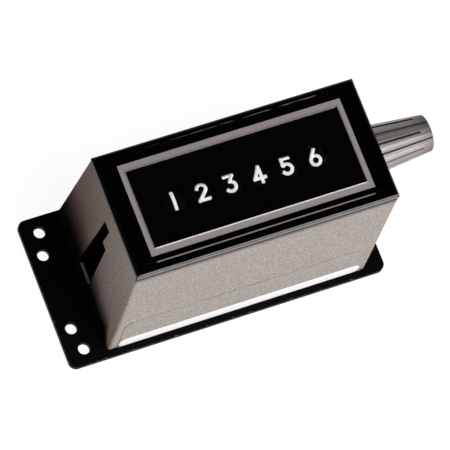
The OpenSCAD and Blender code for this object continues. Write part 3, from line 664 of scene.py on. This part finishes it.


# Cover
# A drawn sheet-metal box with drafted walls, screwed to the base plate by lugs inside its foot.
# Its warm grey enamel is fine-grained, with shade painted in under the bezel and up the left end,
# where a warm brown painted shade deepens towards the rear and the foot. Its inside and cut faces
# are painted near-black as shade. A stepped slot in that end lets the leads out over a sill that is
# painted a lighter grey.

cover_low, cover_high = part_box("housing")
cover_top_half = Vector((34.0, 15.85)) * MM
slot_sill = Vector((0, 1.3, 6.9)) * MM
sill_edge = (0.12 * MM, 0.05 * MM)
slot_edge = (3.0 * MM, 2.7 * MM)
sill_depth = (2 * MM - cover_top_half.x, 1 * MM - cover_top_half.x)
inside_shade_depth = 0.15 * MM
wall_skin = (0.9 * MM, 0.3 * MM)
corner_w = 4.5 * MM
corner_shade_z = 2 * MM
shade_rise, shade_rise_at_rear = 16.5 * MM, 14 * MM
black_rise, black_rise_at_rear = 6.5 * MM, 4 * MM
shade_edge_wave = 2 * MM
bezel_shadow = (cover_high.z - 3.2 * MM, cover_high.z + 0.3 * MM)
bezel_shade_strength = 0.9
warm_shade_foot_z = 10 * MM
warm_shade_at_rear, warm_shade_at_foot = 0.58, 0.52

grey_enamel = Finish("grey_enamel", specular_ior_level=0.0)
cover_x, cover_y, cover_z = grey_enamel.split(grey_enamel.place)
down = (cover_high.z - cover_z) / (cover_high.z - cover_low.z)
under_end = cover_top_half.x - abs(cover_x) + (cover_high.x - cover_top_half.x) * down
under_front = cover_y + cover_top_half.y + (-cover_low.y - cover_top_half.y) * down
under_rear = cover_top_half.y - cover_y + (cover_high.y - cover_top_half.y) * down
under_skin = under_end.smaller(under_front).smaller(under_rear)
# The inside and the cut faces are painted near-black as shade
inside_shade = grey_enamel.ramp(under_skin, inside_shade_depth, 2 * inside_shade_depth)
paint_speck = grey_enamel.ramp(grey_enamel.grain(0.38 * MM, detail=3.0), 0.32, 0.68)
paint_cloud = grey_enamel.grain(9 * MM, detail=3.0)
paint_grey = grey_enamel.mix(paint_speck, (0.275, 0.247, 0.228), (0.525, 0.481, 0.450))
outside_grey = grey_enamel.mix(0.2 * paint_cloud, paint_grey, (0.39, 0.355, 0.330))
to_rear = grey_enamel.ramp(cover_y, -cover_top_half.y, cover_top_half.y)
# Painted shade: the left end darkens to black towards its foot, higher towards the rear, and the
# front wall darkens just under the bezel
past_corner = grey_enamel.ramp(under_front, 0.0, corner_w)
shade_clear_from = corner_shade_z + past_corner * (shade_rise + shade_rise_at_rear * to_rear)
black_below = past_corner * (black_rise + black_rise_at_rear * to_rear) - corner_shade_z
wavy_shade_z = cover_z + shade_edge_wave * (grey_enamel.grain(4 * MM) - 0.5)
left_end = grey_enamel.ramp(cover_x, 0.0, -1 * MM) * grey_enamel.ramp(under_end, *wall_skin)
left_end_shade = left_end * grey_enamel.ramp(wavy_shade_z, shade_clear_from, black_below)
front_wall = grey_enamel.ramp(under_front, *wall_skin)
under_bezel = front_wall * grey_enamel.ramp(cover_z, *bezel_shadow)
cover_shade = left_end_shade.larger(bezel_shade_strength * under_bezel)
# A warm brown painted shade on the left end, deepening towards the rear and the foot
to_foot = grey_enamel.ramp(cover_z, cover_high.z, warm_shade_foot_z)
warm_left_shade = left_end * (warm_shade_at_rear * to_rear + warm_shade_at_foot * to_foot)
warm_shaded_grey = grey_enamel.mix(warm_left_shade, outside_grey, (0.13, 0.095, 0.078))
shaded_grey = grey_enamel.mix(cover_shade, warm_shaded_grey, (0.004, 0.0036, 0.0034))
cover_grey = grey_enamel.mix(inside_shade, shaded_grey, (0.006, 0.006, 0.006))
# The slot's sill is painted a lighter grey than the dark inside
on_sill = grey_enamel.ramp(abs(cover_z - slot_sill.z), *sill_edge)
in_slot = grey_enamel.ramp(abs(cover_y - slot_sill.y), *slot_edge)
light_sill = on_sill * in_slot * grey_enamel.ramp(cover_x, *sill_depth)
grey_enamel.set(
    base_color=grey_enamel.mix(light_sill, cover_grey, (0.28, 0.265, 0.25)),
    roughness=0.34 + 0.14 * paint_cloud,
)
grey_enamel.bump(paint_speck, 0.015 * MM, edge=0.12 * MM)
dress(grey_enamel, "housing")


# Label plate
# A thin printed foil stuck to the lower part of the front wall, its upper left corner rounded.
# It is a smoother grey than the wall, left bare above a plain white bar along its lower edge.

bar_low = Vector((-32.15, 0, 1.9)) * MM
bar_high = Vector((32.6, 0, 6.7)) * MM
bar_end_r = 2.0 * MM
bar_blur = 0.08 * MM

label_foil = Finish("label_foil", specular_ior_level=0.05)
label_x, _, label_z = label_foil.split(label_foil.place)
bar_middle = (bar_low + bar_high) / 2
bar_half = (bar_high - bar_low) / 2
past_end = (abs(label_x - bar_middle.x) - (bar_half.x - bar_end_r)).larger(0.0)
past_side = (abs(label_z - bar_middle.z) - (bar_half.z - bar_end_r)).larger(0.0)
from_bar = (past_end**2 + past_side**2) ** 0.5 - bar_end_r
in_bar = label_foil.ramp(from_bar, bar_blur, -bar_blur)
foil_cloud = label_foil.ramp(label_foil.grain(0.45 * MM, detail=3.0), 0.34, 0.66)
foil_grey = label_foil.mix(foil_cloud, (0.270, 0.244, 0.226), (0.470, 0.432, 0.404))
label_foil.set(
    base_color=label_foil.mix(in_bar, foil_grey, (0.97, 0.965, 0.955)),
    roughness=0.40 + 0.15 * foil_cloud,
)
label_foil.bump(foil_cloud, 0.006 * MM)
dress(label_foil, "label_plate")


# Bezel
# A moulded ring of glossy black plastic that closes the top of the cover. A lip locates it in
# the walls, a fine groove runs round its face, and stepped seats take the pane and its frame.


def ring(name, finish, loops, edge):
    """A closed ring through rectangular loops given as (half x, half y, z), with rounded edges."""
    corners = [(1, 1), (-1, 1), (-1, -1), (1, -1)]
    points = [(a * x, b * y, z) for x, y, z in loops for a, b in corners]
    total = len(points)
    faces = [
        tuple((4 * k + offset) % total for offset in (c, (c + 1) % 4, 4 + (c + 1) % 4, 4 + c))
        for k in range(len(loops))
        for c in range(4)
    ]
    mesh = bpy.data.meshes.new(name)
    mesh.from_pydata(points, [], faces)
    mesh.materials.append(finish.material)
    source = bpy.data.objects.new(name + "_source", mesh)
    bpy.context.scene.collection.objects.link(source)
    bevel = source.modifiers.new("edges", "BEVEL")
    bevel.width = edge
    bevel.segments = 3
    bevel.harden_normals = True
    made = plain(name, source)
    bpy.data.objects.remove(source)
    return made


bezel_low, bezel_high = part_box("bezel")
trim_low, trim_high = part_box("trim_frame")
_, pane_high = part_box("window_pane")
mask_low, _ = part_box("wheel_mask")
seat_play = 0.05 * MM
bevel_w = 0.58 * MM
bevel_drop = 0.7 * MM
bevel_line = 0.36
bevel_line_w = 0.16
line_sink = 0.07 * MM
seam_h = 0.2 * MM
groove_half = Vector((30.7, 13.35)) * MM
groove_w = 0.36 * MM
groove_depth = 0.27 * MM
opening_half = Vector((27.6, 10.1)) * MM
lip_half = Vector((33.15, 15.0)) * MM
lip_t = 1.4 * MM
bezel_edge = 0.04 * MM
face_z = bezel_high.z
joint_z = cover_high.z

bevel_highlight_strength, groove_highlight_strength, dash_highlight_strength = 0.65, 0.7, 0.5
bevel_highlight_span = (0.84, 0.70)
highlight_ends = (28.6 * MM, 27.8 * MM)
dash_highlight_y = 14.25 * MM
dash_highlight_w = (0.16 * MM, 0.05 * MM)
dash_highlight_span = (-24 * MM, 4 * MM)

gloss_black = Finish("gloss_black", specular_ior_level=0.03)
bezel_x, bezel_y, bezel_z = gloss_black.split(gloss_black.place)
# The light grey on the front bevel, along the front groove and in a broken line near the rear edge
# is painted highlight
highlight_breakup = 0.5 + gloss_black.grain(0.6 * MM, detail=3.0, stretch=(4, 1, 1))
up_bevel = (bezel_y + bezel_high.y) / bevel_w
off_line = gloss_black.ramp(abs(up_bevel - bevel_line), 0.4 * bevel_line_w, 0.7 * bevel_line_w)
off_seam = gloss_black.ramp(bezel_z, joint_z + 0.8 * seam_h, joint_z + seam_h)
lit_bevel = gloss_black.ramp(up_bevel, *bevel_highlight_span)
bevel_highlight = lit_bevel * off_line * off_seam * (bevel_highlight_strength * highlight_breakup)
below_face = gloss_black.ramp(bezel_z, face_z - 0.01 * MM, face_z - 0.04 * MM)
from_groove = abs(bezel_y + groove_half.y + groove_w / 2)
along_groove = gloss_black.ramp(from_groove, groove_w, 0.6 * groove_w)
between_ends = gloss_black.ramp(abs(bezel_x), *highlight_ends)
groove_highlight = below_face * along_groove * between_ends * (groove_highlight_strength * highlight_breakup)
highlight_dashes = gloss_black.ramp(gloss_black.grain(0.4 * MM, stretch=(9, 1, 1)), 0.40, 0.62)
dash_highlight_from = gloss_black.ramp(bezel_x, *dash_highlight_span) * between_ends
dash_highlight = gloss_black.ramp(abs(bezel_y - dash_highlight_y), *dash_highlight_w) * highlight_dashes * dash_highlight_from
painted_highlight = bevel_highlight.larger(groove_highlight).larger(dash_highlight_strength * dash_highlight)
handling = gloss_black.grain(3.0 * MM, detail=5.0)
clean_black = gloss_black.mix(handling, deep_black, soft_black)
gloss_black.set(
    base_color=gloss_black.mix(painted_highlight, clean_black, (0.33, 0.31, 0.295)),
    roughness=0.12 + 0.12 * handling + 0.3 * painted_highlight,
)
gloss_black.bump(gloss_black.grain(0.9 * MM), 0.004 * MM)


def on_bevel(share, sink):
    """A loop of the bevel, from its foot at 0 to its top at 1, sunk below the slope."""
    inward = bevel_w * share + sink
    return bezel_high.x - inward, bezel_high.y - inward, face_z - bevel_drop * (1 - share) - sink


bezel_loops = [
    (bezel_high.x, bezel_high.y, joint_z),
    on_bevel(0.0, 0.0),
    on_bevel(bevel_line - bevel_line_w / 2, 0.0),
    on_bevel(bevel_line, line_sink),
    on_bevel(bevel_line + bevel_line_w / 2, 0.0),
    on_bevel(1.0, 0.0),
    (groove_half.x + groove_w, groove_half.y + groove_w, face_z),
    (groove_half.x + groove_w, groove_half.y + groove_w, face_z - groove_depth),
    (groove_half.x, groove_half.y, face_z),
    (trim_high.x + seat_play, trim_high.y + seat_play, face_z),
    (trim_high.x + seat_play, trim_high.y + seat_play, trim_low.z),
    (pane_high.x + seat_play, pane_high.y + seat_play, trim_low.z),
    (pane_high.x + seat_play, pane_high.y + seat_play, mask_low.z),
    (opening_half.x, opening_half.y, mask_low.z),
    (opening_half.x, opening_half.y, joint_z),
    (lip_half.x - lip_t, lip_half.y - lip_t, joint_z),
    (lip_half.x - lip_t, lip_half.y - lip_t, bezel_low.z),
    (lip_half.x, lip_half.y, bezel_low.z),
    (lip_half.x, lip_half.y, joint_z),
]
bezel = ring("bezel_ring", gloss_black, bezel_loops, bezel_edge)
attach(bezel, "case")
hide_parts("bezel")


# Window
# A flat trim frame of satin aluminium holds a clear acrylic pane in the bezel, and behind the
# pane lies a dead-black mask with an opening for each figure.

trim_edge = 0.03 * MM
lip_glint = (0.24 * MM, 0.08 * MM)
lip_fade = 0.5 * MM

satin_trim = Finish("satin_trim", metallic=0.3)
trim_brush = satin_trim.grain(0.12 * MM, stretch=(14, 1, 1))
trim_speck = satin_trim.grain(0.2 * MM)
trim_grey = satin_trim.mix(trim_speck, (0.275, 0.246, 0.238), (0.348, 0.312, 0.305))
trim_x, trim_y, _ = satin_trim.split(satin_trim.place)
# The light line along the inner edge of the front bar is a painted highlight
front_lip = satin_trim.ramp(-opening_half.y - trim_y, *lip_glint)
lip_ends = satin_trim.ramp(abs(trim_x), opening_half.x, opening_half.x - lip_fade)
lip_highlight = front_lip * lip_ends * satin_trim.ramp(trim_y, 0.0, -1 * MM)
satin_trim.set(
    base_color=satin_trim.mix(lip_highlight, trim_grey, (0.66, 0.635, 0.62)),
    roughness=0.38 + 0.2 * trim_brush,
)
satin_trim.bump(trim_brush, 0.005 * MM)
bead_w = 0.3 * MM
bead_top_w = 0.08 * MM
bead_rise = 0.2 * MM
trim_loops = [
    (trim_high.x, trim_high.y, trim_low.z),
    (trim_high.x, trim_high.y, trim_high.z - bead_rise),
    (opening_half.x + bead_w, opening_half.y + bead_w, trim_high.z - bead_rise),
    (opening_half.x + bead_top_w, opening_half.y + bead_top_w, trim_high.z),
    (opening_half.x, opening_half.y, trim_high.z),
    (opening_half.x, opening_half.y, trim_low.z),
]
trim = ring("trim_ring", satin_trim, trim_loops, trim_edge)
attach(trim, "case")
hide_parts("trim_frame")

clear_pane = Finish("clear_pane", base_color=(0.97, 0.98, 0.98), ior=1.49, transmission_weight=1.0)
smears = clear_pane.grain(7 * MM, detail=4.0)
clear_pane.set(roughness=0.015 + 0.03 * smears)

# The lamps' light passes straight through to the figures, and so does most light from them
bounced_share = 0.88
lamp_ray = clear_pane.node("ShaderNodeLightPath", output="Is Shadow Ray")
bounced_ray = clear_pane.node("ShaderNodeLightPath", output="Is Diffuse Ray")
lets_light_in = clear_pane.node("ShaderNodeBsdfTransparent")
clear_pane.overlay(lamp_ray.larger(bounced_share * bounced_ray), lets_light_in)
dress(clear_pane, "window_pane")

dead_black = Finish("dead_black", specular_ior_level=0.02)
flock = dead_black.grain(0.3 * MM)
dead_black.set(
    base_color=dead_black.mix(flock, deep_black, soft_black),
    roughness=0.75 + 0.2 * flock,
)
dead_black.bump(flock, 0.01 * MM)
dress(dead_black, "wheel_mask")


# Reset knob
# A tapered knob turned from aluminium bar, held to the reset shaft by a grub screw. Milled grooves
# run along it for the fingers, every second one stopping short of the smooth ring at its end.

knob_low, knob_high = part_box("reset_knob")
knob_base_r = (knob_high.z - knob_low.z) / 2
knob_end_r = 4.65 * MM
knob_edge_r = 0.4 * MM
knob_foot_edge = 0.3 * MM
knob_length = knob_high.x - knob_low.x
knob_taper = math.atan((knob_base_r - knob_end_r) / knob_length)
knob_sides = 112
edge_steps = 6
groove_count = 14
groove_step = math.tau / groove_count
long_groove_w = 0.45 * MM
short_groove_w = 0.6 * MM
short_share = 0.8
knob_turn = math.radians(17.5)
groove_shade_depth = (0.01 * MM, 0.07 * MM)
groove_shade_in_front = 0.6
groove_shade_side = (-3.0 * MM, 1.5 * MM)
side_shade_strength = 0.85
side_shade_half_w = (0.3 * MM, 0.55 * MM)
side_shade_fade = 0.4 * MM
side_shade_rear = (1.0 * MM, 2.0 * MM)
sharp_edge = math.radians(28)

satin_aluminium = Finish("satin_aluminium", metallic=1.0)
knob_x, knob_y, knob_z = satin_aluminium.split(satin_aluminium.place)
from_knob_axis = (knob_y**2 + (knob_z - wheel_axis_z) ** 2) ** 0.5
cone_r = knob_base_r - (knob_x - knob_low.x) * math.tan(knob_taper)
# The grooves are painted in shade, fully at the back and less at the front
in_groove = satin_aluminium.ramp(cone_r - from_knob_axis, *groove_shade_depth)
past_bore = satin_aluminium.ramp(knob_x, knob_high.x - knob_edge_r, knob_high.x - 0.5 * knob_edge_r)
to_back = satin_aluminium.ramp(knob_y, *groove_shade_side)
groove_shade_share = groove_shade_in_front + (1 - groove_shade_in_front) * to_back
# A band of painted shade lies beside the rear short groove
rear_groove = knob_turn + groove_step
short_end = knob_low.x + short_share * knob_length
across = knob_y * math.cos(rear_groove) - (knob_z - wheel_axis_z) * math.sin(rear_groove)
beside = 1 - satin_aluminium.ramp(abs(across), *side_shade_half_w)
before_end = 1 - satin_aluminium.ramp(knob_x, short_end - side_shade_fade, short_end)
groove_side_shade = side_shade_strength * beside * before_end * satin_aluminium.ramp(knob_y, *side_shade_rear)
knob_shade = (in_groove * (1 - past_bore) * groove_shade_share).larger(groove_side_shade)
widened = knob_base_r / cone_r
along_taper = satin_aluminium.node(
    "ShaderNodeCombineXYZ",
    inputs={"X": knob_x, "Y": knob_y * widened, "Z": (knob_z - wheel_axis_z) * widened},
)
knob_brush = satin_aluminium.grain(0.14 * MM, stretch=(30, 1, 1), place=along_taper)
knob_streaks = satin_aluminium.grain(0.42 * MM, detail=3.0, stretch=(150, 1, 1), place=along_taper)
streaked = 0.3 * knob_brush + 0.7 * satin_aluminium.ramp(knob_streaks, 0.36, 0.64)
knob_grey = satin_aluminium.mix(streaked, (0.160, 0.143, 0.133), (0.48, 0.442, 0.420))
satin_aluminium.set(
    base_color=satin_aluminium.mix(knob_shade, knob_grey, (0.016, 0.014, 0.013)),
    roughness=0.38 + 0.16 * knob_brush + 0.3 * knob_shade,
)
satin_aluminium.bump(knob_brush, 0.008 * MM)


def knob_body():
    """The turned body before milling: a closed surface of revolution about the reset shaft."""
    end_x = knob_length - knob_edge_r
    profile = [(0.0, 0.0), (0.0, knob_base_r - knob_foot_edge), (knob_foot_edge, knob_base_r)]
    for k in range(edge_steps + 1):
        angle = math.pi / 2 * k / edge_steps
        reach = knob_end_r - knob_edge_r + knob_edge_r * math.cos(angle)
        profile.append((end_x + knob_edge_r * math.sin(angle), reach))
    profile.append((knob_length, 0.0))
    points, rows = [], []
    for along, reach in profile:
        count = knob_sides if reach else 1
        rows.append(range(len(points), len(points) + count))
        for k in range(count):
            angle = math.tau * k / knob_sides
            y, z = reach * math.sin(angle), wheel_axis_z + reach * math.cos(angle)
            points.append((knob_low.x + along, y, z))
    faces = []
    for near, far in zip(rows, rows[1:]):
        for k in range(knob_sides):
            after = (k + 1) % knob_sides
            corners = [(near, k), (far, k), (far, after), (near, after)]
            quad = [row[place % len(row)] for row, place in corners]
            faces.append(tuple(dict.fromkeys(quad)))
    mesh = bpy.data.meshes.new("knob_body")
    mesh.from_pydata(points, [], faces)
    return mesh


groove_sink = 0.1 * MM
run_past = 1.0 * MM

milled = Shape("milled_knob", "Long", "Short", "Thin", "Wide", "Sink")


def cutters(run, width, first):
    """Square cutters on edge for every second groove, laid along the taper from behind the foot."""
    size = milled.node("ShaderNodeCombineXYZ", inputs={"X": run, "Y": width, "Z": width})
    bar = milled.node("GeometryNodeMeshCube", inputs={"Size": size})
    on_edge = milled.node(
        "GeometryNodeTransform",
        inputs={
            "Geometry": bar,
            "Rotation": (math.pi / 4, 0, 0),
            "Translation": milled.node("ShaderNodeCombineXYZ", inputs={"X": run * 0.5}),
        },
    )
    height = milled.given["Sink"] + (knob_base_r + run_past * math.tan(knob_taper))
    tilted = milled.node(
        "GeometryNodeTransform",
        inputs={
            "Geometry": on_edge,
            "Rotation": (0, knob_taper, 0),
            "Translation": milled.node("ShaderNodeCombineXYZ", inputs={"Z": height}),
        },
    )
    start = Vector((knob_low.x - run_past, 0, wheel_axis_z))
    spots = {"Count": groove_count // 2, "Position": start}
    places = milled.node("GeometryNodePoints", inputs=spots)
    index = milled.node("GeometryNodeInputIndex")
    angle = index * (2 * groove_step) + (first * groove_step - knob_turn)
    turn = milled.node("ShaderNodeCombineXYZ", inputs={"X": angle})
    about = milled.node("FunctionNodeEulerToRotation", inputs={0: turn})
    copies = {"Points": places, "Instance": tilted, "Rotation": about}
    set_out = milled.node("GeometryNodeInstanceOnPoints", inputs=copies)
    return milled.node("GeometryNodeRealizeInstances", inputs={"Geometry": set_out})


cut = milled.tree.nodes.new("GeometryNodeMeshBoolean")
cut.operation = "DIFFERENCE"
cut.solver = "EXACT"
milled.feed(cut.inputs["Mesh 1"], milled.given["Geometry"])
long_bars = cutters(milled.given["Long"], milled.given["Thin"], 0)
short_bars = cutters(milled.given["Short"], milled.given["Wide"], 1)
for bars in (long_bars, short_bars):
    milled.tree.links.new(bars.socket, cut.inputs["Mesh 2"])
milled.close(Signal(milled, cut.outputs[0]), satin_aluminium)
knob = milled.make(
    "milled_knob",
    knob_body(),
    Long=knob_length + 2 * run_past,
    Short=knob_length * short_share + run_past,
    Thin=long_groove_w,
    Wide=short_groove_w,
    Sink=groove_sink,
)
knob.data.shade_smooth()
knob.data.set_sharp_from_angle(angle=sharp_edge)
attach(knob, "reset")
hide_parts("reset_knob")


# Floor and light
# The counter stands on a plain white sweep. Broad soft lamps stand in front on the knob's side and
# above, a weak one fills in from behind, and the room is pale, dim overhead and warm on the left.

floor_half = 4.0
floor_mesh = bpy.data.meshes.new("floor")
floor_mesh.from_pydata(
    [(a * floor_half, b * floor_half, -0.1 * MM) for a, b in ((-1, -1), (1, -1), (1, 1), (-1, 1))],
    [],
    [(0, 1, 2, 3)],
)
floor = bpy.data.objects.new("floor", floor_mesh)
bpy.context.scene.collection.objects.link(floor)


def seen_share(net):
    """1 for rays that show the background: from the camera, a glossy surface or glass."""
    rays = net.tree.nodes.new("ShaderNodeLightPath")
    kinds = ("Camera", "Glossy", "Transmission")
    first, second, third = [Signal(net, rays.outputs[f"Is {kind} Ray"]) for kind in kinds]
    return first.larger(second).larger(third)


white_sweep = Finish(
    "white_sweep", base_color=(0.88, 0.88, 0.88), roughness=0.9, specular_ior_level=0.0
)
glow_share, glow_strength = 0.86, 1.08
full_white = {"Color": (1.0, 1.0, 1.0), "Strength": glow_strength}
glow = white_sweep.node("ShaderNodeEmission", inputs=full_white)
white_sweep.overlay(seen_share(white_sweep) * glow_share, glow)
floor_mesh.materials.append(white_sweep.material)

world = bpy.data.worlds.new("studio")
world.use_nodes = True
bpy.context.scene.world = world
room = Net(world.node_tree)
direction = room.node("ShaderNodeTexCoord", output="Generated")
room_x, _, room_z = room.split(direction)
overhead = room.ramp(room_z, 0.02, 0.3)
on_left = room.ramp(room_x, -0.3, -1.0)
seen = seen_share(room)
wall_seen, ceiling_seen = 1.0, 0.0
wall_light, ceiling_light, left_light = 0.03, 0.02, 0.6
warm_white = (1.0, 0.85, 0.775)
brightness = seen * (wall_seen + (ceiling_seen - wall_seen) * overhead) + (1 - seen) * (
    wall_light + (ceiling_light - wall_light) * overhead + left_light * on_left
)
backdrop = world.node_tree.nodes["Background"]
room.feed(backdrop.inputs["Color"], room.mix((1 - seen) * on_left, (1.0, 1.0, 1.0), warm_white))
room.feed(backdrop.inputs["Strength"], brightness)


lamp_reach = 0.9


def soft_lamp(name, towards, size, power):
    """A square lamp at a distance from the counter, facing it."""
    lamp = bpy.data.lights.new(name, "AREA")
    lamp.size = size
    lamp.energy = power
    stand = bpy.data.objects.new(name, lamp)
    bpy.context.scene.collection.objects.link(stand)
    stand.location = Vector(towards).normalized() * lamp_reach
    stand.rotation_euler = Vector(towards).to_track_quat("Z", "Y").to_euler()


soft_lamp("front_lamp", towards=(0.269, -0.929, 0.253), size=0.26, power=3.0)
soft_lamp("top_lamp", towards=(0.15, -0.35, 0.92), size=0.4, power=6.0)
soft_lamp("rear_lamp", towards=(0.5, 0.6, 0.62), size=0.35, power=0.4)


# Camera
# A long lens looks down on the counter from its front left, rolled so that the row of figures
# climbs to the right, as in the photograph.

camera_azimuth = math.radians(223.29)
camera_elevation = math.radians(68.34)
camera_roll = math.radians(27.2)
camera_distance = 1037.35 * MM
camera_aim = Vector((4.81, 3.61, 2.37)) * MM
camera_lens = 331.8

back = Vector(
    (
        math.cos(camera_elevation) * math.cos(camera_azimuth),
        math.cos(camera_elevation) * math.sin(camera_azimuth),
        math.sin(camera_elevation),
    )
)
level_right = Vector((0, 0, 1)).cross(back).normalized()
level_up = back.cross(level_right)
right = math.cos(camera_roll) * level_right + math.sin(camera_roll) * level_up
up = back.cross(right)
camera = bpy.data.cameras.new("camera")
camera.lens = camera_lens
camera.clip_end = 20.0
view = bpy.data.objects.new("camera", camera)
bpy.context.scene.collection.objects.link(view)
view.matrix_world = Matrix.Translation(camera_aim + back * camera_distance) @ Matrix(
    (right, up, back)
).transposed().to_4x4()
bpy.context.scene.camera = view
bpy.context.scene.view_settings.view_transform = "Standard"
